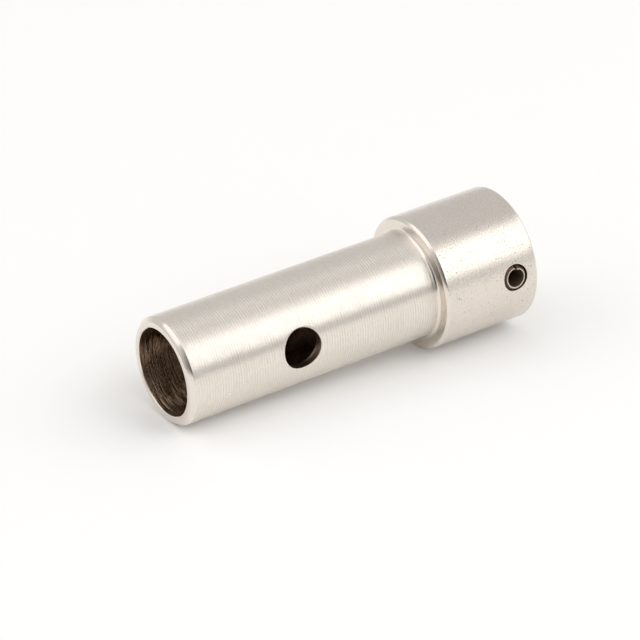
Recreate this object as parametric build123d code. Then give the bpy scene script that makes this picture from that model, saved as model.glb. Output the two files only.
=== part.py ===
from build123d import *
import os

# Rigid sleeve coupling, in millimetres.
# The axis lies along X. The open mouth of the tube is at X = 0, its centre is the origin,
# and the collar is at +X. Both cross holes run along Y. +Z is up.

# Turned sleeve: outside
overall_length = 57.5
tube_diameter = 16.0
collar_diameter = 20.0
collar_length = 16.0
mouth_chamfer = 0.65
shoulder_chamfer = 0.4
collar_end_chamfer = 0.35
shoulder_root_radius = 0.5      # left by the nose of the turning tool

# Turned sleeve: inside
tube_bore_diameter = 13.0
tube_socket_depth = 40.0        # from the mouth to the stop for the tube-side shaft
tube_bore_edge_break = 0.1
shaft_bore_diameter = 10.0
shaft_bore_end_chamfer = 0.5
stop_edge_break = 0.2

# Cross hole through both walls of the tube
cross_hole_diameter = 6.0
cross_hole_from_mouth = 18.25
cross_hole_edge_break = 0.1

# Slotted spring pin, pressed through the collar and across the shaft bore
pin_hole_diameter = 4.0
pin_from_collar_end = 4.0
pin_wall = 0.6
pin_slot_width = 0.4
pin_slot_turn = 7.0             # degrees from +Z towards +X
pin_end_chamfer = 0.3           # radial
pin_end_chamfer_length = 0.5    # along the pin
pin_end_recess = 0.0            # each end, below the crown of the collar

# Clearances
pin_press_clearance = 0.0       # the pin is sprung tight against its hole

# Worked-out sizes
tube_radius = tube_diameter / 2
collar_radius = collar_diameter / 2
tube_bore_radius = tube_bore_diameter / 2
shaft_bore_radius = shaft_bore_diameter / 2
shoulder_x = overall_length - collar_length
pin_x = overall_length - pin_from_collar_end
pin_radius = pin_hole_diameter / 2 - pin_press_clearance
pin_bore_radius = pin_radius - pin_wall
pin_length = collar_diameter - 2 * pin_end_recess


def half_section():
    """Half of the sleeve's section, as a face in the XZ plane above the axis."""
    outside = [
        (0, tube_radius - mouth_chamfer),
        (mouth_chamfer, tube_radius),
        (shoulder_x - shoulder_root_radius, tube_radius),
    ]
    root_middle = (
        shoulder_x - shoulder_root_radius * (1 - 0.5 ** 0.5),
        tube_radius + shoulder_root_radius * (1 - 0.5 ** 0.5),
    )
    collar = [
        (shoulder_x, tube_radius + shoulder_root_radius),
        (shoulder_x, collar_radius - shoulder_chamfer),
        (shoulder_x + shoulder_chamfer, collar_radius),
        (overall_length - collar_end_chamfer, collar_radius),
        (overall_length, collar_radius - collar_end_chamfer),
        (overall_length, shaft_bore_radius + shaft_bore_end_chamfer),
        (overall_length - shaft_bore_end_chamfer, shaft_bore_radius),
        (tube_socket_depth + stop_edge_break, shaft_bore_radius),
        (tube_socket_depth, shaft_bore_radius + stop_edge_break),
        (tube_socket_depth, tube_bore_radius),
        (tube_bore_edge_break, tube_bore_radius),
        (0, tube_bore_radius + tube_bore_edge_break),
        outside[0],
    ]
    with BuildSketch(Plane.XZ) as section:
        with BuildLine():
            Polyline(*outside)
            ThreePointArc(outside[-1], root_middle, collar[0])
            Polyline(*collar)
        make_face()
    return section.sketch


def cross_drill(diameter, x):
    """A cutter along Y, long enough to leave both sides of the collar."""
    drill = Cylinder(diameter / 2, collar_diameter + 2 * diameter, rotation=(90, 0, 0))
    return Pos(x, 0, 0) * drill


def is_hole_rim(edge, x, wall_middle):
    """True for an edge that rings a cross hole at x on the outside of the wall."""
    box = edge.bounding_box()
    side = abs(box.center().Y)
    return abs(box.center().X - x) < 0.01 and wall_middle < side and box.size.Y < side


def sleeve_body():
    """One turned piece: thin tube, shoulder, collar, stepped bore and the two cross holes."""
    body = revolve(half_section(), axis=Axis.X)
    body -= cross_drill(cross_hole_diameter, cross_hole_from_mouth)
    wall_middle = (tube_radius + tube_bore_radius) / 2
    rims = [edge for edge in body.edges() if is_hole_rim(edge, cross_hole_from_mouth, wall_middle)]
    body = chamfer(rims, cross_hole_edge_break)
    body -= cross_drill(pin_hole_diameter, pin_x)
    return body


def spring_pin():
    """A rolled, slotted tube with chamfered ends, across the full width of the collar."""
    half = pin_length / 2
    with BuildSketch(Plane.XY) as section:
        with BuildLine():
            Polyline(
                (pin_bore_radius, -half),
                (pin_radius - pin_end_chamfer, -half),
                (pin_radius, -half + pin_end_chamfer_length),
                (pin_radius, half - pin_end_chamfer_length),
                (pin_radius - pin_end_chamfer, half),
                (pin_bore_radius, half),
                close=True,
            )
        make_face()
    pin = revolve(section.sketch, axis=Axis.Y)
    slot = Pos(0, 0, pin_radius) * Box(pin_slot_width, 1.1 * pin_length, 2 * pin_radius)
    pin -= Rot(0, pin_slot_turn, 0) * slot
    return Pos(pin_x, 0, 0) * pin


os.makedirs("parts", exist_ok=True)
export_step(sleeve_body(), "parts/sleeve_body.step")
export_step(spring_pin(), "parts/spring_pin.step")
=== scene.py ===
"""Rigid sleeve coupling: a turned, stepped steel sleeve and the slotted spring pin through its collar.

The sleeve lies on a plain pale floor. Its axis runs along +X from the open mouth of the tube socket to
the collar, the holes are drilled along Y, and +Z is up. Sizes are in millimetres in the classes below
and become metres where a mesh is made.
"""

import logging
import math
from dataclasses import dataclass, field
from enum import Enum
from functools import partial, reduce
from typing import Any, Callable, Sequence

import bmesh
import bpy
from mathutils import Matrix, Vector


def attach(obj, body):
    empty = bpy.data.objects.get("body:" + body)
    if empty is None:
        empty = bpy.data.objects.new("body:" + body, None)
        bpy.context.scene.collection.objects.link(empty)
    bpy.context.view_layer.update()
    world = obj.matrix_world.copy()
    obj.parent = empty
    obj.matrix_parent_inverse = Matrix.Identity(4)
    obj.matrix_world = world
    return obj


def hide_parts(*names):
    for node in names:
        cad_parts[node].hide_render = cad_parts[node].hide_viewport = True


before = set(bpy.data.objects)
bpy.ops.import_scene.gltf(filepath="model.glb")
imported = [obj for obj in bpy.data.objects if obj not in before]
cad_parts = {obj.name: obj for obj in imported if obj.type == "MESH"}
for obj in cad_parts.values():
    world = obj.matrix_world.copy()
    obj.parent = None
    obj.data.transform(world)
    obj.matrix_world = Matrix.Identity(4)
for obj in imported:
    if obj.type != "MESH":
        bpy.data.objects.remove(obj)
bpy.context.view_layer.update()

MM = 0.001
MICRON = 1e-6
TOUCH = 1e-6  # metres within which two points stand at the same place
SMOOTH_BELOW = 38.0  # degrees under which an edge is shaded smooth
FACING = 0.95  # how much of a face's normal lies along the way that it is said to face
log = logging.getLogger("sleeve_coupling")

Triple = tuple[float, float, float]
Pair = tuple[float, float]
Socket = bpy.types.NodeSocket
Outputs = bpy.types.NodeOutputs


class Side(Enum):
    """The two ends of a hole drilled right through, by the sign of Y that they open towards."""

    NEAR = -1.0
    FAR = 1.0


class Skin(Enum):
    """The surfaces of the sleeve, named for the cut that made them; the value is the material slot."""

    TUBE = 0
    COLLAR = 1
    FACED = 2
    CHAMFERED = 3
    BORED = 4
    REAMED = 5
    DRILLED = 6


class PinSkin(Enum):
    """The surfaces of the spring pin; the value is the material slot."""

    STRIP = 0
    ENDS = 1


def off_axis(co: Vector) -> float:
    """How far a point is from the sleeve's axis."""
    return math.hypot(co.y, co.z)


def onto_skin(co: Vector, radius: float) -> Vector:
    """The point moved straight out from the sleeve's axis, or in, to stand at a radius from it."""
    share = radius / off_axis(co)
    return Vector((co.x, co.y * share, co.z * share))


def just_added(name: str) -> bpy.types.Object:
    """Names the object that was just added, and its data.

    Args:
        name: The name.

    Returns:
        The object.
    """
    added = bpy.context.active_object
    added.name = added.data.name = name
    return added


class Bench:
    """One mesh held in edit mode, begun as a closed line, with the moves a modeller makes on it by hand.

    Args:
        name: The name of the piece.
        stops: The places that the line goes through, in metres.
    """

    def __init__(self, name: str, stops: Sequence[Vector]) -> None:
        bpy.ops.object.select_all(action="DESELECT")
        bpy.ops.mesh.primitive_plane_add(size=MM, location=stops[0])
        self.piece = just_added(name)
        bpy.ops.object.transform_apply(location=True, rotation=True, scale=True)
        bpy.ops.object.mode_set(mode="EDIT")
        bpy.ops.mesh.select_mode(type="VERT")
        bpy.ops.mesh.select_all(action="SELECT")
        bpy.ops.mesh.merge(type="CENTER")
        for here, there in zip(stops, stops[1:]):
            bpy.ops.mesh.extrude_region_move(TRANSFORM_OT_translate={"value": there - here})
        self.pick_at([stops[0], stops[-1]])
        bpy.ops.mesh.edge_face_add()

    def mesh(self) -> bmesh.types.BMesh:
        """Returns the mesh as it stands in edit mode."""
        return bmesh.from_edit_mesh(self.piece.data)

    def clear(self, kind: str) -> None:
        """Drops what is selected, so that "VERT", "EDGE" or "FACE" elements can be selected next."""
        bpy.ops.mesh.select_mode(type=kind)
        bpy.ops.mesh.select_all(action="DESELECT")

    def pick(self, kind: str, test: Callable[[Any], bool]) -> None:
        """Selects the points, edges or faces for which the test holds, and nothing else.

        Args:
            kind: "VERT", "EDGE" or "FACE".
            test: Takes one of them and says whether it is wanted.
        """
        self.clear(kind)
        mesh = self.mesh()
        for element in {"VERT": mesh.verts, "EDGE": mesh.edges, "FACE": mesh.faces}[kind]:
            if test(element):
                element.select_set(True)
        if kind == "VERT":
            mesh.select_flush_mode()
        bmesh.update_edit_mesh(self.piece.data)

    def pick_at(self, places: Sequence[Vector]) -> None:
        """Selects the points that stand at the given places, in metres."""
        self.pick("VERT", lambda v: any((v.co - place).length < TOUCH for place in places))

    def bevel(self, width: float, steps: int) -> None:
        """Bevels the selected edges, in as many segments as there are steps, width being in mm."""
        bpy.ops.mesh.bevel(offset=width * MM, segments=steps, affect="EDGES", clamp_overlap=True)

    def ease(self, corners: Sequence[Vector], width: float, steps: int) -> None:
        """Bevels corner points of a drawn line.

        Args:
            corners: Where the corners are, in metres.
            width: How far along each side the bevel starts, in mm.
            steps: Segments of the bevel; one is a flat chamfer and more are an arc.
        """
        self.pick_at(corners)
        bpy.ops.mesh.bevel(offset=width * MM, segments=steps, affect="VERTICES", clamp_overlap=False)

    def divide(self, row_at: Callable[[Vector], float], shortest: float = 0.0) -> None:
        """Subdivides the edges of a drawn line.

        Args:
            row_at: Takes the middle of an edge and says how long its parts may be, both in metres.
            shortest: The shortest edge to divide, in metres.
        """
        spans = [(e.verts[0].co.copy(), e.verts[1].co.copy()) for e in self.mesh().edges]
        for a, b in spans:
            middle, length = (a + b) / 2, (a - b).length
            cuts = math.ceil(length / row_at(middle) - TOUCH) - 1
            if cuts > 0 and length >= shortest:
                self.pick("EDGE", lambda e: {a[:], b[:]} == {v.co[:] for v in e.verts})
                bpy.ops.mesh.subdivide(number_cuts=cuts)

    def turn(self, steps: int, angle: float = math.tau, centre: Vector = Vector(),
             axis: Vector = Vector((1.0, 0.0, 0.0))) -> None:
        """Spins all of the drawn line into a skin of revolution.

        Args:
            steps: How many columns the skin gets.
            angle: How far it is turned, in radians.
            centre: A point of the axis.
            axis: The direction of the axis.
        """
        self.pick("VERT", lambda v: True)
        whole = angle == math.tau
        bpy.ops.mesh.spin(steps=steps, angle=angle, center=centre, axis=axis, use_auto_merge=whole)
        self.tidy()

    def tidy(self) -> None:
        """Merges doubled points and turns every face outwards."""
        bpy.ops.mesh.select_all(action="SELECT")
        bpy.ops.mesh.remove_doubles(threshold=TOUCH)
        bpy.ops.mesh.normals_make_consistent(inside=False)

    def circle(self, points: int, radius: float, at: Vector) -> None:
        """Adds an open ring of points round an axis along Y, and leaves it selected."""
        self.clear("VERT")
        bpy.ops.mesh.primitive_circle_add(vertices=points, radius=radius, fill_type="NOTHING", location=at,
                                          rotation=(math.pi / 2, 0.0, 0.0))

    def bridge(self, cuts: int) -> None:
        """Bridges the two selected rings of edges with straight faces, cut across that many times."""
        bpy.ops.mesh.bridge_edge_loops(type="SINGLE", number_cuts=cuts, interpolation="LINEAR")

    def settle(self, test: Callable[[bmesh.types.BMVert], bool], place: Callable[[Vector], Vector]) -> None:
        """Moves some of the points.

        Args:
            test: Takes a point and says whether it moves.
            place: Takes where it is and says where it belongs.
        """
        for v in self.mesh().verts:
            if test(v):
                v.co = place(v.co)
        bmesh.update_edit_mesh(self.piece.data)

    def finish(self) -> bpy.types.Object:
        """Leaves edit mode and shades the piece.

        Returns:
            The piece, at the origin, unturned and unscaled.
        """
        self.tidy()
        bpy.ops.object.mode_set(mode="OBJECT")
        bpy.ops.object.shade_smooth_by_angle(angle=math.radians(SMOOTH_BELOW))
        return self.piece


class Piece:
    """A piece of the coupling. Each builds its own mesh, and says which of its skins each face belongs to."""

    skins: type[Enum]

    def skin_at(self, centre: Vector, normal: Vector) -> Enum:
        """Names the cut that made a face.

        Args:
            centre: The middle of the face, in metres.
            normal: Its outward direction.

        Returns:
            The skin that the face belongs to.
        """
        raise NotImplementedError

    def dress(self, built: bpy.types.Object, materials: dict[Enum, bpy.types.Material]) -> None:
        """Gives each face the finish of the cut that made it.

        Args:
            built: The finished mesh object.
            materials: A material for each skin.
        """
        for skin in self.skins:
            built.data.materials.append(materials[skin])
        for polygon in built.data.polygons:
            polygon.material_index = self.skin_at(polygon.center, polygon.normal).value


@dataclass(frozen=True)
class Corner:
    """A corner of the sleeve's half section.

    Attributes:
        x: Distance from the mouth along the axis, in mm.
        radius: Distance from the axis, in mm.
        ease: Width of the chamfer or radius on it, in mm; none if zero.
        steps: One for a flat chamfer, more for a radius.
    """

    x: float
    radius: float
    ease: float = 0.0
    steps: int = 1

    def place(self) -> Vector:
        """Where the corner stands, in metres."""
        return Vector((self.x * MM, 0.0, self.radius * MM))


@dataclass(frozen=True)
class Patch:
    """A patch of skin that is relaid round the rim of a hole.

    Attributes:
        radius: Radius of the skin, in mm.
        rows: Rows of faces that it replaces along the axis.
        columns: Columns of faces that it replaces on each side of the drill.
    """

    radius: float
    rows: int
    columns: int

    @property
    def edge_points(self) -> int:
        """How many points its edge has, and so the rim that it is bridged to."""
        return 2 * self.rows + 4 * self.columns


@dataclass(frozen=True)
class ThroughHole:
    """A hole drilled right through the sleeve along Y.

    Attributes:
        x: Distance of its axis from the mouth, in mm.
        diameter: Its diameter, in mm.
        edge_break: Width of the broken edge at its rims, in mm.
        half_patch: How far its patches reach from its axis, in mm.
        outer: The patch of the skin that it enters.
        inner: The patch of the bore that it enters.
        skin_depth: How far off a skin still counts as in it, in mm.
    """

    x: float
    diameter: float
    edge_break: float
    half_patch: float
    outer: Patch
    inner: Patch
    skin_depth: float = 0.25

    def on_rim(self, co: Vector, side: Side, patch: Patch) -> bool:
        """Whether a point in metres lies on the rim at one side, on the skin of the patch."""
        from_drill = math.hypot(co.x - self.x * MM, co.z)
        return (co.y * side.value > 0.0 and abs(from_drill - self.diameter * MM / 2) < 2 * TOUCH
                and abs(off_axis(co) - patch.radius * MM) < 2 * TOUCH)

    def in_patch(self, co: Vector, side: Side, patch: Patch, column_turn: float, slack: float = 0.0) -> bool:
        """Whether a point in metres lies in a patch at one side, or no more than the slack outside it."""
        turned = abs(math.atan2(co.z, co.y * side.value))
        return (abs(off_axis(co) - patch.radius * MM) < self.skin_depth * MM
                and abs(co.x - self.x * MM) < self.half_patch * MM + slack
                and turned < patch.columns * column_turn + slack)


@dataclass
class TurnedSleeve(Piece):
    """The sleeve, one piece of steel bar: tube, shoulder, collar, two bores and two drilled holes.

    Lengths are in millimetres.
    """

    skins = Skin
    overall_length: float = 57.5
    tube_radius: float = 8.0
    collar_radius: float = 10.0
    collar_length: float = 16.0
    mouth_chamfer: float = 0.65
    shoulder_chamfer: float = 0.4
    collar_end_chamfer: float = 0.35
    root_radius: float = 0.5
    tube_bore_radius: float = 6.5
    tube_socket_depth: float = 40.0
    tube_bore_edge_break: float = 0.1
    shaft_bore_radius: float = 5.0
    shaft_bore_end_chamfer: float = 0.5
    stop_radius: float = 0.2
    stop_edge_break: float = 0.2
    burnished_edge: float = 0.05
    cross_hole_x: float = 18.25
    cross_hole_diameter: float = 6.0
    pin_from_collar_end: float = 4.0
    pin_hole_diameter: float = 4.0
    hole_edge_break: float = 0.1
    columns: int = 192
    row_length: float = 0.55
    bore_row_length: float = 0.8
    shortest_divided: float = 0.9
    near: float = 0.3

    @property
    def shoulder_x(self) -> float:
        """Where the collar starts."""
        return self.overall_length - self.collar_length

    @property
    def pin_x(self) -> float:
        """Where the axis of the spring pin crosses."""
        return self.overall_length - self.pin_from_collar_end

    def holes(self) -> tuple[ThroughHole, ThroughHole]:
        """The plain hole across the tube, and the hole across the collar that the pin is pressed into."""
        cross = ThroughHole(
            self.cross_hole_x, self.cross_hole_diameter, self.hole_edge_break, half_patch=4.2,
            outer=Patch(self.tube_radius, rows=24, columns=17),
            inner=Patch(self.tube_bore_radius, rows=16, columns=21))
        pin = ThroughHole(
            self.pin_x, self.pin_hole_diameter, self.hole_edge_break, half_patch=2.8,
            outer=Patch(self.collar_radius, rows=28, columns=9),
            inner=Patch(self.shaft_bore_radius, rows=8, columns=19))
        return cross, pin

    def half_section(self) -> list[Corner]:
        """Draws up the half section.

        Returns:
            Its corners, from the mouth of the bore round the outside and back.
        """
        cross, pin = self.holes()
        tube, collar = self.tube_radius, self.collar_radius
        socket, bore = self.tube_bore_radius, self.shaft_bore_radius
        return [
            Corner(0.0, socket, self.tube_bore_edge_break),
            Corner(0.0, tube, self.mouth_chamfer),
            Corner(cross.x - cross.half_patch, tube),
            Corner(cross.x + cross.half_patch, tube),
            Corner(self.shoulder_x, tube, self.root_radius, steps=7),
            Corner(self.shoulder_x, collar, self.shoulder_chamfer),
            Corner(pin.x - pin.half_patch, collar),
            Corner(pin.x + pin.half_patch, collar),
            Corner(self.overall_length, collar, self.collar_end_chamfer),
            Corner(self.overall_length, bore, self.shaft_bore_end_chamfer),
            Corner(pin.x + pin.half_patch, bore),
            Corner(pin.x - pin.half_patch, bore),
            Corner(self.tube_socket_depth, bore, self.stop_edge_break),
            Corner(self.tube_socket_depth, socket, self.stop_radius, steps=3),
            Corner(cross.x + cross.half_patch, socket),
            Corner(cross.x - cross.half_patch, socket),
        ]

    def row_at(self, co: Vector) -> float:
        """Says how long the rows of faces are along the half section.

        Args:
            co: A point of it, in metres.

        Returns:
            The length of a row there, in metres.
        """
        for hole in self.holes():
            if abs(co.x - hole.x * MM) < hole.half_patch * MM:
                outside = off_axis(co) > (hole.outer.radius + hole.inner.radius) * MM / 2
                return 2 * hole.half_patch * MM / (hole.outer if outside else hole.inner).rows
        outside = off_axis(co) > (self.tube_radius - self.near) * MM
        return (self.row_length if outside else self.bore_row_length) * MM

    def build(self) -> bpy.types.Object:
        """Draws the half section, turns it and drills it.

        Returns:
            The finished mesh object.
        """
        corners = self.half_section()
        bench = Bench("turned_sleeve", [corner.place() for corner in corners])
        for corner in corners:
            if corner.ease:
                bench.ease([corner.place()], corner.ease, corner.steps)
        self.burnish(bench, corners)
        bench.divide(self.row_at, self.shortest_divided * MM)
        bench.turn(self.columns)
        for hole in self.holes():
            for side in Side:
                self.drill(bench, hole, side)
        return bench.finish()

    def burnish(self, bench: Bench, corners: Sequence[Corner]) -> None:
        """Takes the razor edge off both sides of each flat chamfer.

        Args:
            bench: The mesh, still a drawn line.
            corners: The corners of the half section.
        """
        for corner in corners:
            if corner.steps == 1 and corner.ease > 4 * self.burnished_edge:
                at, reach = corner.place(), corner.ease * MM
                sides = Vector((reach, 0.0, 0.0)), Vector((0.0, 0.0, reach))
                bench.ease([at + side for side in sides] + [at - side for side in sides],
                           self.burnished_edge, steps=2)

    def drill(self, bench: Bench, hole: ThroughHole, side: Side) -> None:
        """Cuts one end of a through hole: relays both skins round its rims and walls it in between them.

        Args:
            bench: The turned mesh.
            hole: The hole.
            side: Which end of it to cut.
        """
        for patch in (hole.outer, hole.inner):
            skin = patch.radius * MM
            inside = partial(hole.in_patch, side=side, patch=patch, column_turn=math.tau / self.columns)
            nearly = partial(inside, slack=20 * TOUCH)
            bench.pick("FACE", lambda f: inside(f.calc_center_median()))
            bpy.ops.mesh.delete(type="FACE")
            rim_at = Vector((hole.x * MM, side.value * skin, 0.0))
            bench.circle(patch.edge_points, hole.diameter * MM / 2, rim_at)
            bench.settle(lambda v: v.select,
                         lambda co: Vector((co.x, side.value * math.sqrt(skin ** 2 - co.z ** 2), co.z)))
            bench.pick("EDGE", lambda e: len(e.link_faces) < 2 and all(nearly(v.co) for v in e.verts))
            bench.bridge(cuts=6)
            bench.settle(lambda v: nearly(v.co) and not hole.on_rim(v.co, side, patch),
                         lambda co: onto_skin(co, skin))
        bench.pick("EDGE", lambda e: len(e.link_faces) == 1 and e.verts[0].co.y * side.value > 0.0
                   and abs(e.verts[0].co.x - hole.x * MM) < hole.diameter * MM)
        bench.bridge(cuts=1)
        for patch in (hole.outer, hole.inner):
            bench.pick("EDGE", lambda e: all(hole.on_rim(v.co, side, patch) for v in e.verts))
            bench.bevel(hole.edge_break, steps=3)

    def skin_at(self, centre: Vector, normal: Vector) -> Skin:
        """Names the cut that made a face; see Piece.skin_at."""
        radius, x = off_axis(centre) / MM, centre.x / MM
        outward = (normal.y * centre.y + normal.z * centre.z) / off_axis(centre)
        at_stop = abs(x - self.tube_socket_depth) < self.near
        if outward > FACING:
            return Skin.TUBE if x < self.shoulder_x else Skin.COLLAR
        if outward < -FACING:
            return Skin.BORED if x < self.tube_socket_depth else Skin.REAMED
        for hole in self.holes():
            if math.hypot(x - hole.x, centre.z / MM) < hole.diameter / 2 + hole.edge_break + TOUCH / MM:
                return Skin.DRILLED
        if abs(normal.x) > FACING:
            return Skin.BORED if at_stop else Skin.FACED
        if radius < self.tube_bore_radius - self.stop_radius and x < self.pin_x:
            return Skin.REAMED
        return Skin.BORED if at_stop else Skin.CHAMFERED


@dataclass
class SlottedSpringPin(Piece):
    """The spring pin: a strip of spring steel rolled to a tube with an open slot along one side.

    Lengths are in millimetres and angles in degrees. The slot is turned from +Z towards +X.
    """

    skins = PinSkin
    x: float
    length: float = 20.0
    outer_radius: float = 1.985
    wall: float = 0.6
    end_chamfer: float = 0.41
    end_chamfer_length: float = 0.55
    inner_end_ease: float = 0.06
    slot_width: float = 0.4
    slot_turn: float = 7.0
    slot_edge_round: float = 0.08
    end_tuck: float = 0.2
    tuck_sweep: float = 70.0
    columns: int = 72
    row_length: float = 1.0
    near_angle: float = 0.01

    @property
    def gap(self) -> float:
        """The angle that the slot leaves open, in radians."""
        return 2 * math.asin(self.slot_width / 2 / (self.outer_radius - self.wall / 2))

    def edge_turn(self, side: int) -> float:
        """The angle of the slot's edge at the far end of the strip, side 1, or at its first end, side -1."""
        return (math.radians(self.slot_turn) + side * self.gap / 2) % math.tau

    def turn_of(self, co: Vector) -> float:
        """The angle of a point round the pin, from +Z towards +X, between 0 and a whole turn."""
        return math.atan2(co.x - self.x * MM, co.z) % math.tau

    def runs_along(self, edge: bmesh.types.BMEdge, side: int) -> bool:
        """Whether both ends of an edge stand at that edge of the slot."""
        return all(abs(self.turn_of(v.co) - self.edge_turn(side)) < self.near_angle for v in edge.verts)

    def build(self) -> bpy.types.Object:
        """Draws the section of the strip, rolls it round the pin's axis and rounds the slot's edges.

        Returns:
            The finished mesh object.
        """
        outer, half = self.outer_radius, self.length / 2
        centre = Vector((self.x * MM, 0.0, 0.0))
        start = self.edge_turn(1) - self.gap
        out, along = Vector((math.sin(start), 0.0, math.cos(start))), Vector((0.0, 1.0, 0.0))
        section = (
            (outer - self.wall, -half), (outer - self.end_chamfer, -half),
            (outer, self.end_chamfer_length - half), (outer, half - self.end_chamfer_length),
            (outer - self.end_chamfer, half), (outer - self.wall, half),
        )
        stops = [centre + (out * radius + along * y) * MM for radius, y in section]
        bench = Bench("spring_pin_strip", stops)
        bench.ease([stops[0], stops[-1]], self.inner_end_ease, steps=2)
        bench.divide(lambda co: self.row_length * MM)
        bench.turn(self.columns, math.tau - self.gap, centre, along)
        self.close_slot(bench)
        bench.settle(lambda v: True, self.tucked)
        return bench.finish()

    def close_slot(self, bench: Bench) -> None:
        """Fills the two sheared faces of the slot and rounds their long edges.

        Args:
            bench: The rolled mesh, open at both sides of the slot.
        """
        for side in (1, -1):
            bench.pick("EDGE", lambda e: len(e.link_faces) == 1 and self.runs_along(e, side))
            bpy.ops.mesh.edge_face_add()
        bench.tidy()
        longest = self.row_length * MM
        bench.pick("EDGE", lambda e: any(len(f.verts) > 8 for f in e.link_faces)  # the many-sided new faces
                   and abs(e.verts[0].co.y - e.verts[1].co.y) > 0.3 * longest  # not their short end edges
                   and any(self.runs_along(e, side) for side in (1, -1)))
        bench.bevel(self.slot_edge_round, steps=2)

    def tucked(self, co: Vector) -> Vector:
        """Springs one end of the strip slightly inside the other, as rolling leaves it.

        Args:
            co: A point of it, in metres.

        Returns:
            The point moved towards the pin's axis, more the nearer it is to that end.
        """
        before = (self.turn_of(co) - self.edge_turn(1)) % math.tau
        if before > 0.95 * math.tau:  # on the rounded edge, just past the end
            before = 0.0
        share = max(0.0, 1.0 - before / math.radians(self.tuck_sweep)) ** 2
        out = Vector((co.x - self.x * MM, 0.0, co.z))
        return co - out * (share * self.end_tuck * MM / out.length)

    def skin_at(self, centre: Vector, normal: Vector) -> PinSkin:
        """Names the cut that made a face; see Piece.skin_at."""
        at_end = abs(centre.y) > (self.length / 2 - 2 * self.inner_end_ease) * MM and abs(normal.y) > 0.8
        return PinSkin.ENDS if at_end else PinSkin.STRIP


class Board:
    """A node tree being wired, empty at first.

    Args:
        owner: The material or world that it belongs to, or the node group that it is.
    """

    def __init__(self, owner: Any) -> None:
        if not isinstance(owner, bpy.types.NodeTree):
            owner.use_nodes = True
            owner = owner.node_tree
        self.tree = owner
        self.tree.nodes.clear()

    def add(self, kind: str, sockets: dict[Any, Any] | None = None, **settings: Any) -> bpy.types.Node:
        """Adds a node, sets what it is given and joins what is a socket already.

        Args:
            kind: The node's type, such as "ShaderNodeMath".
            sockets: Input name or number to a constant or another node's output.
            settings: The node's own settings, such as operation.

        Returns:
            The node.
        """
        row, column = divmod(len(self.tree.nodes), 8)
        node = self.tree.nodes.new(kind)
        node.location = (220 * column, -260 * row)
        for name, value in settings.items():
            setattr(node, name, value)
        for name, value in (sockets or {}).items():
            if isinstance(value, Socket):
                self.tree.links.new(value, node.inputs[name])
            else:
                node.inputs[name].default_value = value
        return node

    def place(self) -> Socket:
        """Adds the Object coordinates and returns them."""
        return self.add("ShaderNodeTexCoord").outputs["Object"]

    def in_view(self) -> Socket:
        """Returns 1 for what the camera, metal and glass show, and 0 for the light that falls on things."""
        path = self.add("ShaderNodeLightPath").outputs
        return reduce(partial(self.math, "MAXIMUM"),
                      (path["Is Camera Ray"], path["Is Glossy Ray"], path["Is Transmission Ray"]))

    def math(self, operation: str, *terms: Any) -> Socket:
        """Adds a Math node on constants or sockets and returns its value."""
        return self.add("ShaderNodeMath", dict(enumerate(terms)), operation=operation).outputs[0]

    def times(self, *terms: Any) -> Socket:
        """Multiplies constants or sockets and returns the product."""
        return reduce(partial(self.math, "MULTIPLY"), terms)

    def plus(self, *terms: Any) -> Socket:
        """Adds up constants or sockets and returns the sum."""
        return reduce(partial(self.math, "ADD"), terms)

    def vector(self, operation: str, *terms: Any) -> Outputs:
        """Adds a Vector Math node and returns its outputs."""
        return self.add("ShaderNodeVectorMath", dict(enumerate(terms)), operation=operation).outputs

    def noise(self, place: Socket, scale: Any, detail: float, roughness: float = 0.5) -> Socket:
        """Adds a noise and returns its value."""
        sockets = {"Vector": place, "Scale": scale, "Detail": detail, "Roughness": roughness}
        return self.add("ShaderNodeTexNoise", sockets).outputs["Fac"]

    def spread(self, value: Any, low: float, high: float, start: float = 0.0, end: float = 1.0) -> Socket:
        """Maps a value from one range to another, held at both ends, and returns the result."""
        sockets = {"Value": value, "From Min": low, "From Max": high, "To Min": start, "To Max": end}
        return self.add("ShaderNodeMapRange", sockets).outputs["Result"]

    def tint(self, share: Any, first: Any, second: Any) -> Socket:
        """Mixes two colours by a share from 0 to 1 and returns the colour."""
        return self.add("ShaderNodeMix", {0: share, 6: first, 7: second}, data_type="RGBA").outputs[2]


@dataclass(frozen=True)
class Effect:
    """A node group that several finishes share.

    Attributes:
        name: The name of the group.
        inputs: Name and default of each number that goes in.
    """

    name: str
    inputs: dict[str, float]

    def build(self) -> bpy.types.NodeTree:
        """Makes the group.

        Returns:
            The group's node tree.
        """
        tree = bpy.data.node_groups.new(self.name, "ShaderNodeTree")
        new_socket = partial(tree.interface.new_socket, socket_type="NodeSocketFloat")
        for name, default in self.inputs.items():
            new_socket(name, in_out="INPUT").default_value = default
        board = Board(tree)
        results = self.wire(board, board.place(), board.add("NodeGroupInput").outputs)
        for name in results:
            new_socket(name, in_out="OUTPUT")
        board.add("NodeGroupOutput", results)
        return tree

    def wire(self, board: Board, place: Socket, given: Outputs) -> dict[str, Socket]:
        """Wires the inside of the group; each effect says how.

        Args:
            board: The group's board.
            place: The Object coordinates.
            given: The group's inputs, by name.

        Returns:
            The values that come out, by name.
        """
        raise NotImplementedError


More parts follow.
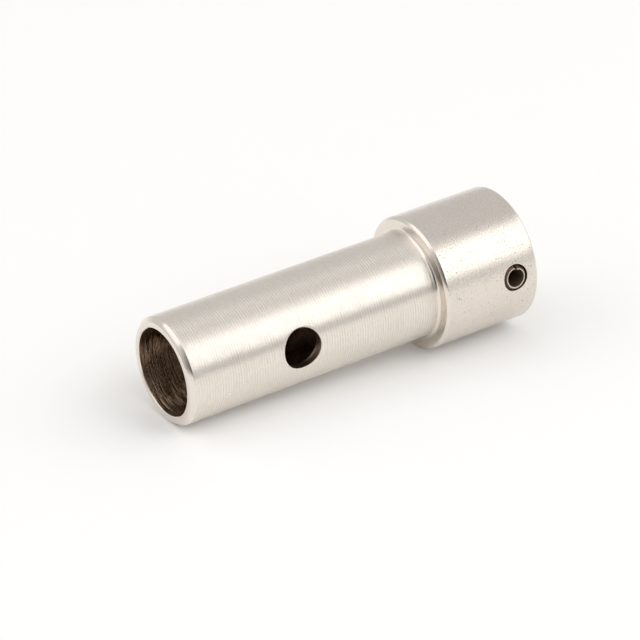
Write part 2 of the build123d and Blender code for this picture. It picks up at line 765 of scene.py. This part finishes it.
class TurningLines(Effect):
    """The fine feed lines that a lathe tool leaves round a turned or faced surface, in metres of height."""

    uneven = 0.6
    faded = 0.35
    scoring = 2.3
    scores_to_a_line = 1.7

    def wire(self, board: Board, place: Socket, given: Outputs) -> dict[str, Socket]:
        """Wires uneven lines that fade here and there, and the scores between them; see Effect.wire."""
        axes = board.add("ShaderNodeSeparateXYZ", {0: place}).outputs
        radius = board.vector("LENGTH", board.vector("MULTIPLY", place, (0.0, 1.0, 1.0))[0])["Value"]
        drift = board.times(board.math("SUBTRACT", board.noise(place, 140.0, 2.0), 0.5), given["Wander"])
        turns = board.math("DIVIDE", board.plus(axes["X"], radius, drift), given["Pitch"])
        wave = board.math("SINE", board.times(turns, math.tau))
        each = board.add("ShaderNodeTexWhiteNoise", {"W": board.math("FLOOR", turns)}, noise_dimensions="1D")
        strength = board.math("MULTIPLY_ADD", each.outputs["Value"], self.uneven, 1.0 - self.uneven)
        fade = board.spread(board.noise(place, 600.0, 0.0), 0.34, 0.62, self.faded, 1.0)
        along = board.add("ShaderNodeCombineXYZ", {
            "X": board.times(turns, self.scores_to_a_line),
            "Y": board.times(axes["Y"], given["Break Up"]),
            "Z": board.times(axes["Z"], given["Break Up"]),
        }).outputs[0]
        scores = board.math("SUBTRACT", board.noise(along, 1.0, 3.0, 0.7), 0.5)
        total = board.math("MULTIPLY_ADD", scores, self.scoring, board.times(wave, strength, fade))
        # Shade is painted shade of the lines, laid into the colour beside their bumped height.
        return {"Height": board.times(total, given["Depth"]), "Shade": board.spread(total, -1.3, 1.3)}


class BarPits(Effect):
    """Scattered tiny dark pits and specks left in the skin of drawn bar."""

    # Painted light: pits are set thicker on the side where the key light's highlight falls, where light shows
    # them most.
    highlight_side = (0.0, -91.0, 41.0)
    highlight_edge = (0.74, 0.94)
    off_highlight = 0.3

    def wire(self, board: Board, place: Socket, given: Outputs) -> dict[str, Socket]:
        """Wires pits of mixed sizes in clumps, painted thicker on the side where the highlight falls; see
        Effect.wire.
        """
        cells = board.add("ShaderNodeTexVoronoi", {"Vector": place, "Scale": given["Scale"]}).outputs
        draw = board.add("ShaderNodeSeparateColor", {0: cells["Color"]}).outputs
        towards_highlight = board.vector("DOT_PRODUCT", place, self.highlight_side)["Value"]
        on_highlight = board.spread(towards_highlight, *self.highlight_edge, self.off_highlight, 1.0)
        share = board.times(given["Share"], on_highlight)
        chosen = board.math("GREATER_THAN", draw[0], board.math("SUBTRACT", 1.0, share))
        size = board.math("MULTIPLY_ADD", board.math("POWER", draw[1], 3.0), 0.26, 0.16)
        spot = board.spread(board.math("DIVIDE", cells["Distance"], size), 1.0, 0.45)
        patchy = board.spread(board.noise(place, 330.0, 3.0), 0.36, 0.50)
        fill = board.math("MULTIPLY_ADD", draw[2], 0.65, 0.25)
        mask = board.times(spot, board.times(chosen, patchy, fill))
        return {"Mask": mask, "Height": board.times(mask, board.times(given["Depth"], -1.0))}


class Handling(Effect):
    """Broad uneven patches of sheen, and fine grain, as on steel that has been handled and wiped."""

    def wire(self, board: Board, place: Socket, given: Outputs) -> dict[str, Socket]:
        """Wires the two noises; see Effect.wire."""
        return {"Patches": board.spread(board.noise(place, given["Scale"], 3.0, 0.6), 0.3, 0.7),
                "Grain": board.spread(board.noise(place, given["Grain Scale"], 3.0, 0.6), 0.3, 0.7)}


class Streaks(Effect):
    """Short irregular rub marks that run round a bore, thicker on the odd lobes that a drill leaves, shown
    light only near the mouth as painted glints, over painted shade that deepens further in.
    """

    lobes = 5.0
    lobe_turn = math.radians(45.0) - 0.5
    lobe_share = 0.11
    drawn_out = 0.09
    # Painted light and shade: within this depth of the mouth the marks show lit, and further in the bore
    # darkens.
    mouth_light_depth = (0.011, 0.015)
    deep_shade = 0.45

    def wire(self, board: Board, place: Socket, given: Outputs) -> dict[str, Socket]:
        """Wires the marks, lit as painted glints near the mouth, which give way to painted shade further in
        from the mouth; see Effect.wire.
        """
        drawn = board.vector("MULTIPLY", place, (1.0, self.drawn_out, self.drawn_out))
        marks = board.noise(drawn[0], given["Scale"], 4.0, 0.72)
        blots = board.noise(place, 210.0, 2.0)
        axes = board.add("ShaderNodeSeparateXYZ", {0: place}).outputs
        angle = board.times(board.math("ARCTAN2", axes["Z"], axes["Y"]), self.lobes)
        lobed = board.math("SINE", board.plus(angle, self.lobe_turn, blots))
        raised = board.math("MULTIPLY_ADD", lobed, self.lobe_share, marks)
        # Painted glints: the marks show light only near the mouth, where light comes in.
        near_mouth_light = board.spread(axes["X"], *self.mouth_light_depth, 1.0, 0.0)
        lit = board.times(board.spread(raised, 0.52, 0.68), near_mouth_light, board.spread(blots, 0.30, 0.50))
        # Painted shade: the bore darkens further in from the mouth.
        return {"Mask": lit, "Deep Shade": board.spread(axes["X"], *self.mouth_light_depth, 0.0, self.deep_shade),
                "Height": board.times(marks, given["Depth"])}


@dataclass(frozen=True)
class SteelFinish:
    """One machined steel finish.

    Attributes:
        name: The name of the material.
        colour: Its colour where clean, linear.
        dark: The colour of its grooves and patches, linear.
        dark_share: How far patches go to the dark colour.
        roughness: Its roughness where clean.
        roughness_spread: How much rougher its patches are.
        pitch: Distance between feed lines, in mm.
        depth: Height of the feed lines, in micrometres.
        line_tint: How far the grooves go to the dark colour, a painted shade of the feed lines.
        grain: Height of the fine grain, in micrometres.
        mottle: How far the grain goes to the dark colour.
        anisotropy: How far the highlight is drawn out across the feed lines.
        pits: Share of cells that hold a pit, zero for none.
        streaks: How far rub marks go to the clean colour from the dark one, partly painted glints near a
            bore's mouth, zero for none.
        bare: Share of the surface that is bare metal, where the rest is a dull oxide skin.
    """

    name: str
    colour: Triple
    dark: Triple
    dark_share: float = 0.06
    roughness: float = 0.25
    roughness_spread: float = 0.06
    pitch: float = 0.43
    depth: float = 0.3
    line_tint: float = 0.2
    grain: float = 2.0
    mottle: float = 0.06
    anisotropy: float = 0.0
    pits: float = 0.0
    streaks: float = 0.0
    bare: float = 1.0


@dataclass
class SteelShop:
    """The finishes of both pieces and the effects that they share. Colours are linear."""

    steel: Triple = (0.85, 0.785, 0.715)
    shade: Triple = (0.46, 0.39, 0.33)
    # Crests and grooves of the feed lines on the tube: the darker grooves are painted shade of the lines,
    # beside their bumped height.
    crests: Triple = (0.965, 0.90, 0.815)
    grooves: Triple = (0.575, 0.525, 0.475)
    # The bore and drilled colours hold painted shade: their dark brown stands in for the shade deep in the
    # bores and holes, where little light gets in.
    bore_steel_in_painted_shade: Triple = (0.73, 0.54, 0.385)
    bore_shade: Triple = (0.10, 0.055, 0.03)
    drilled_steel_in_painted_shade: Triple = (0.68, 0.57, 0.48)
    oxide: Triple = (0.20, 0.145, 0.105)
    pit: Triple = (0.10, 0.075, 0.06)
    effects: dict[str, bpy.types.NodeTree] = field(default_factory=dict)

    def build_effects(self) -> None:
        """Makes each shared effect once."""
        for effect in (
            TurningLines("turning_lines",
                         {"Pitch": 4.3e-4, "Depth": 5e-7, "Wander": 1e-4, "Break Up": 1100.0}),
            BarPits("bar_pits", {"Scale": 3000.0, "Share": 0.3, "Depth": 1.2e-5}),
            Handling("handling", {"Scale": 160.0, "Grain Scale": 5200.0}),
            Streaks("bore_streaks", {"Scale": 3200.0, "Depth": 1.8e-4}),
        ):
            self.effects[effect.name] = effect.build()

    def effect(self, board: Board, name: str, **values: float) -> Outputs:
        """Places a shared effect on a material's board, with its values there, and returns its outputs."""
        return board.add("ShaderNodeGroup", values, node_tree=self.effects[name]).outputs

    def material(self, finish: SteelFinish) -> bpy.types.Material:
        """Wires one finish.

        Args:
            finish: What to make.

        Returns:
            The material.
        """
        material = bpy.data.materials.new(finish.name)
        board = Board(material)
        clean, dark = (*finish.colour, 1.0), (*finish.dark, 1.0)
        lines = self.effect(board, "turning_lines", Pitch=finish.pitch * MM, Depth=finish.depth * MICRON,
                            Wander=0.12 * finish.pitch * MM)
        wear = self.effect(board, "handling")
        patches = board.times(wear["Patches"], finish.dark_share)
        grooves = board.times(lines["Shade"], finish.line_tint)
        mottle = board.times(wear["Grain"], finish.mottle)
        colour = board.tint(board.plus(patches, grooves, mottle), clean, dark)
        rough = board.math("MULTIPLY_ADD", wear["Patches"], finish.roughness_spread, finish.roughness)
        height = board.plus(lines["Height"], board.times(wear["Grain"], finish.grain * MICRON))
        if finish.pits:
            pits = self.effect(board, "bar_pits", Share=finish.pits)
            colour = board.tint(board.times(pits["Mask"], 0.9), colour, (*self.pit, 1.0))
            rough = board.math("MULTIPLY_ADD", pits["Mask"], 0.3, rough)
            height = board.plus(height, pits["Height"])
        # Rub marks with painted glints near the mouth, over painted shade that deepens into the bore.
        if finish.streaks:
            rubs_and_painted_light = self.effect(board, "bore_streaks")
            colour = board.tint(rubs_and_painted_light["Deep Shade"], colour, dark)
            colour = board.tint(board.times(rubs_and_painted_light["Mask"], finish.streaks), colour, clean)
            height = board.plus(height, rubs_and_painted_light["Height"])
        bump = board.add("ShaderNodeBump", {"Strength": 1.0, "Distance": 1.0, "Height": height})
        sockets = {"Base Color": colour, "Metallic": finish.bare, "Roughness": rough,
                   "Normal": bump.outputs["Normal"]}
        if finish.anisotropy:
            around = board.add("ShaderNodeTangent", direction_type="RADIAL", axis="X").outputs["Tangent"]
            sockets |= {"Anisotropic": finish.anisotropy, "Anisotropic Rotation": 0.25, "Tangent": around}
        shader = board.add("ShaderNodeBsdfPrincipled", sockets)
        board.add("ShaderNodeOutputMaterial", {"Surface": shader.outputs["BSDF"]})
        return material

    def materials(self) -> dict[Enum, bpy.types.Material]:
        """Makes the materials of both pieces.

        Returns:
            One for each skin.
        """
        # The bores' dark brown: painted shade in the bores and drilled holes, and dark patches on the pin's
        # strip.
        steel, shade, shade_and_patch_brown = self.steel, self.shade, self.bore_shade
        finishes = {
            Skin.TUBE: SteelFinish(
                "turned_steel_fine_feed", self.crests, self.grooves, roughness=0.27, depth=10.0,
                line_tint=0.58, grain=5.0, mottle=0.22, anisotropy=0.85),
            Skin.COLLAR: SteelFinish(
                "turned_steel_collar", steel, shade, roughness=0.19, pitch=0.16, depth=0.1, line_tint=0.03,
                grain=8.0, mottle=0.38, pits=0.85),
            Skin.FACED: SteelFinish(
                "faced_steel", steel, shade, roughness=0.11, pitch=0.22, depth=0.5, line_tint=0.08,
                mottle=0.10),
            Skin.CHAMFERED: SteelFinish(
                "chamfered_steel", steel, shade, roughness=0.17, pitch=0.15, depth=0.15, line_tint=0.06,
                grain=0.8, mottle=0.08),
            # Painted shade: the bored finish's brown colour and heavy dark share darken the whole socket
            # bore.
            Skin.BORED: SteelFinish(
                "bored_steel_in_painted_shade", self.bore_steel_in_painted_shade, shade_and_patch_brown, dark_share=0.74, roughness=0.30, roughness_spread=0.10,
                pitch=0.5, depth=6.0, line_tint=0.3, grain=8.0, mottle=0.5, streaks=1.0),
            Skin.REAMED: SteelFinish(
                "reamed_steel", steel, shade, dark_share=0.3, pitch=0.3, depth=0.8, grain=0.6),
            # Painted shade: the drilled walls are darkened towards the bores' dark brown, for the shade
            # inside the holes.
            Skin.DRILLED: SteelFinish(
                "drilled_steel_in_painted_shade", self.drilled_steel_in_painted_shade, shade_and_patch_brown, dark_share=0.5, roughness=0.30, pitch=0.25,
                depth=3.0, line_tint=0.4),
            PinSkin.STRIP: SteelFinish(
                "spring_steel_strip", self.oxide, shade_and_patch_brown, dark_share=0.4, roughness=0.42, pitch=0.5,
                grain=1.5, mottle=0.3, bare=0.45),
            PinSkin.ENDS: SteelFinish(
                "spring_steel_sheared_end", steel, shade, dark_share=0.5, roughness=0.3, pitch=0.2,
                grain=4.0, mottle=0.5),
        }
        return {skin: self.material(finish) for skin, finish in finishes.items()}


def turned_to(x: Vector, y: Vector, z: Vector) -> Matrix:
    """The turn that takes the X, Y and Z axes to three directions."""
    return Matrix((x, y, z)).transposed().to_4x4()


@dataclass(frozen=True)
class SoftBox:
    """A soft lamp on a stand, aimed at the object.

    Attributes:
        name: The name of the lamp.
        heading, height: Which way it stands from the object; see Studio.towards.
        distance: Distance from the object, in metres.
        wide, tall: How much of the room it fills as the object sees it, in degrees.
        radiance: How bright its face is, where 1 is white.
        mirrored: Whether shiny surfaces show its face.
    """

    name: str
    heading: float
    height: float
    distance: float
    wide: float
    tall: float
    radiance: float
    mirrored: bool = True


@dataclass
class Studio:
    """The pale floor, the lamps, the room and the camera.

    Attributes:
        sleeve: What lies on the floor.
        floor_lift: How much brighter than lit the floor is shown.
        roll: Degrees that the sleeve is rolled on the floor.
        eye, sight: Where the camera stands, in mm, and the direction in which it looks.
        lens, sensor, clip: Its focal length and sensor width, in mm, and its reach, in metres.
        room, room_light: How bright the walls are shown, and the light that they give.
        front_gain, front_way: How much stronger that light is one way, and its heading and height.
        dim_side, dim_way: How bright the darkest wall is shown, and its heading and height.
        front_edge, dim_edge, sweep_edge, sweep_side: Cosines between which each of these fades.
    """

    sleeve: TurnedSleeve
    floor_colour: Triple = (0.931, 0.95, 0.971)
    flecks: Triple = (0.8, 0.79, 0.77)
    floor_lift: float = 0.03
    floor_size: float = 6.0
    roll: float = 7.317
    eye: Triple = (-183.73, -362.46, 182.33)
    sight: Triple = (0.4591, 0.7931, -0.4004)
    lens: float = 180.31
    sensor: float = 36.0
    clip: Pair = (0.01, 20.0)
    room: float = 0.70
    room_light: Triple = (0.568, 0.536, 0.497)
    front_gain: float = 2.0
    front_way: Pair = (-154.0, -7.0)
    dim_side: float = 0.05
    dim_way: Pair = (-92.0, 12.0)
    front_edge: Pair = (0.51, 0.84)
    dim_edge: Pair = (0.66, 0.97)
    sweep_edge: Pair = (-0.10, 0.14)
    sweep_side: Pair = (0.3, 0.8)
    lamps: tuple[SoftBox, ...] = (
        SoftBox("key_softbox", -20.0, 38.0, 1.5, 70.0, 42.0, 0.92),
        SoftBox("left_softbox", -173.0, 61.0, 1.5, 51.5, 65.5, 0.60),
        SoftBox("front_softbox", -71.0, 70.0, 1.5, 55.0, 31.0, 0.29),
        SoftBox("fill_softbox", -44.0, 54.0, 3.0, 40.0, 30.0, 1.36, mirrored=False),
    )

    def floor_up(self) -> Vector:
        """Finds how the sleeve lies: on its mouth chamfer and its shoulder.

        Returns:
            The floor's upward direction.
        """
        rise = self.sleeve.collar_radius - self.sleeve.tube_radius
        run = self.sleeve.shoulder_x + self.sleeve.shoulder_chamfer - self.sleeve.mouth_chamfer
        pitch, roll = math.atan2(rise, run), math.radians(self.roll)
        return Vector((math.sin(pitch), -math.sin(roll) * math.cos(pitch), math.cos(roll) * math.cos(pitch)))

    def floor_drop(self) -> float:
        """How far the floor lies below the origin, along its own upward direction, in metres."""
        up = self.floor_up()
        return (self.sleeve.mouth_chamfer * up.x - self.sleeve.tube_radius * math.hypot(up.y, up.z)) * MM

    def sides(self) -> tuple[Vector, Vector, Vector]:
        """Finds the studio's own directions.

        Returns:
            The camera's right hand along the floor, the way it looks along the floor, and up.
        """
        up = self.floor_up()
        right = Vector(self.sight).cross(up).normalized()
        return right, up.cross(right).normalized(), up

    def towards(self, heading: float, height: float) -> Vector:
        """Finds a direction.

        Args:
            heading: Degrees round the floor from the camera's right hand towards the back.
            height: Degrees above the floor.

        Returns:
            The direction.
        """
        right, away, up = self.sides()
        turned, raised = math.radians(heading), math.radians(height)
        return (right * math.cos(turned) + away * math.sin(turned)) * math.cos(raised) + up * math.sin(raised)

    def lay_floor(self) -> None:
        """Adds the pale floor that the sleeve lies on."""
        bpy.ops.mesh.primitive_grid_add(x_subdivisions=12, y_subdivisions=12, size=self.floor_size)
        floor = just_added("floor")
        drop = Matrix.Translation(self.floor_up() * self.floor_drop())
        floor.data.transform(drop @ turned_to(*self.sides()))
        material = bpy.data.materials.new("pale_floor")
        board = Board(material)
        fibre = board.times(board.noise(board.place(), 900.0, 3.0), 0.02)
        shader = board.add("ShaderNodeBsdfPrincipled", {
            "Base Color": board.tint(fibre, (*self.floor_colour, 1.0), (*self.flecks, 1.0)),
            "Roughness": 0.9, "Specular IOR Level": 0.0,
        })
        glow = board.times(board.in_view(), self.floor_lift)
        lift = board.add("ShaderNodeEmission", {"Strength": glow})
        both = board.add("ShaderNodeAddShader", {0: shader.outputs["BSDF"], 1: lift.outputs["Emission"]})
        board.add("ShaderNodeOutputMaterial", {"Surface": both.outputs["Shader"]})
        floor.data.materials.append(material)

    def hang_lamps(self) -> None:
        """Adds the soft lamps, each turned to face the object."""
        aim = Vector((self.sleeve.overall_length / 2 * MM, 0.0, 0.0))
        for box in self.lamps:
            out = self.towards(box.heading, box.height)
            across = self.floor_up().cross(out).normalized()
            wide, tall = (2 * box.distance * math.tan(math.radians(a / 2)) for a in (box.wide, box.tall))
            bpy.ops.object.light_add(type="AREA")
            lamp = just_added(box.name)
            lamp.data.shape = "RECTANGLE"
            lamp.data.size, lamp.data.size_y = wide, tall
            lamp.data.energy = math.pi * wide * tall * box.radiance
            lamp.visible_glossy = box.mirrored
            turn = turned_to(across, out.cross(across), out)
            lamp.matrix_world = Matrix.Translation(aim + out * box.distance) @ turn

    def paint_room(self) -> None:
        """Makes the room: an even light, shown as grey walls, dim beside the camera, over a white sweep."""
        world = bpy.data.worlds.new("pale_room")
        bpy.context.scene.world = world
        board = Board(world)
        look = board.add("ShaderNodeTexCoord").outputs["Generated"]
        ways = self.towards(*self.dim_way), self.floor_up(), self.towards(*self.front_way)
        facing, raised, ahead = (board.vector("DOT_PRODUCT", look, way)["Value"] for way in ways)
        walls = board.spread(facing, *self.dim_edge, self.room, self.dim_side)
        sweep = board.times(board.spread(raised, *self.sweep_edge, 1.0, 0.0),
                            board.spread(facing, *self.sweep_side, 1.0, 0.0))
        shown = board.math("MULTIPLY_ADD", sweep, board.math("SUBTRACT", 1.0, walls), walls)
        grey = board.add("ShaderNodeCombineColor", {0: shown, 1: shown, 2: shown}).outputs[0]
        gain = board.spread(ahead, *self.front_edge, 1.0, self.front_gain)
        light = board.add("ShaderNodeVectorMath", {0: self.room_light, "Scale": gain}, operation="SCALE")
        seen = board.tint(board.in_view(), light.outputs["Vector"], grey)
        air = board.add("ShaderNodeBackground", {"Color": seen, "Strength": 1.0})
        board.add("ShaderNodeOutputWorld", {"Surface": air.outputs["Background"]})

    def set_camera(self) -> None:
        """Puts the camera on its stand, level over the floor."""
        right, _, _ = self.sides()
        back = -Vector(self.sight).normalized()
        bpy.ops.object.camera_add()
        camera = just_added("camera")
        turn = turned_to(right, back.cross(right), back)
        camera.matrix_world = Matrix.Translation(Vector(self.eye) * MM) @ turn
        camera.data.lens, camera.data.sensor_width = self.lens, self.sensor
        camera.data.clip_start, camera.data.clip_end = self.clip
        bpy.context.scene.camera = camera

    def build(self) -> None:
        """Sets up the camera, floor, lamps and room, and the plain view."""
        self.set_camera()
        self.lay_floor()
        self.hang_lamps()
        self.paint_room()
        bpy.context.scene.view_settings.view_transform = "Standard"


def main() -> None:
    """Builds and dresses the two pieces, then the studio, and reports each piece."""
    logging.basicConfig(level=logging.INFO, format="%(name)s: %(message)s")
    shop = SteelShop()
    shop.build_effects()
    materials = shop.materials()

    turned = TurnedSleeve()
    sleeve = turned.build()
    turned.dress(sleeve, materials)
    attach(sleeve, "root")
    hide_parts("sleeve_body")
    log.info("%s: %d faces", sleeve.name, len(sleeve.data.polygons))

    rolled = SlottedSpringPin(turned.pin_x)
    pin = rolled.build()
    rolled.dress(pin, materials)
    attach(pin, "root")
    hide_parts("spring_pin")
    log.info("%s: %d faces", pin.name, len(pin.data.polygons))

    Studio(turned).build()


if __name__ == "__main__":
    main()
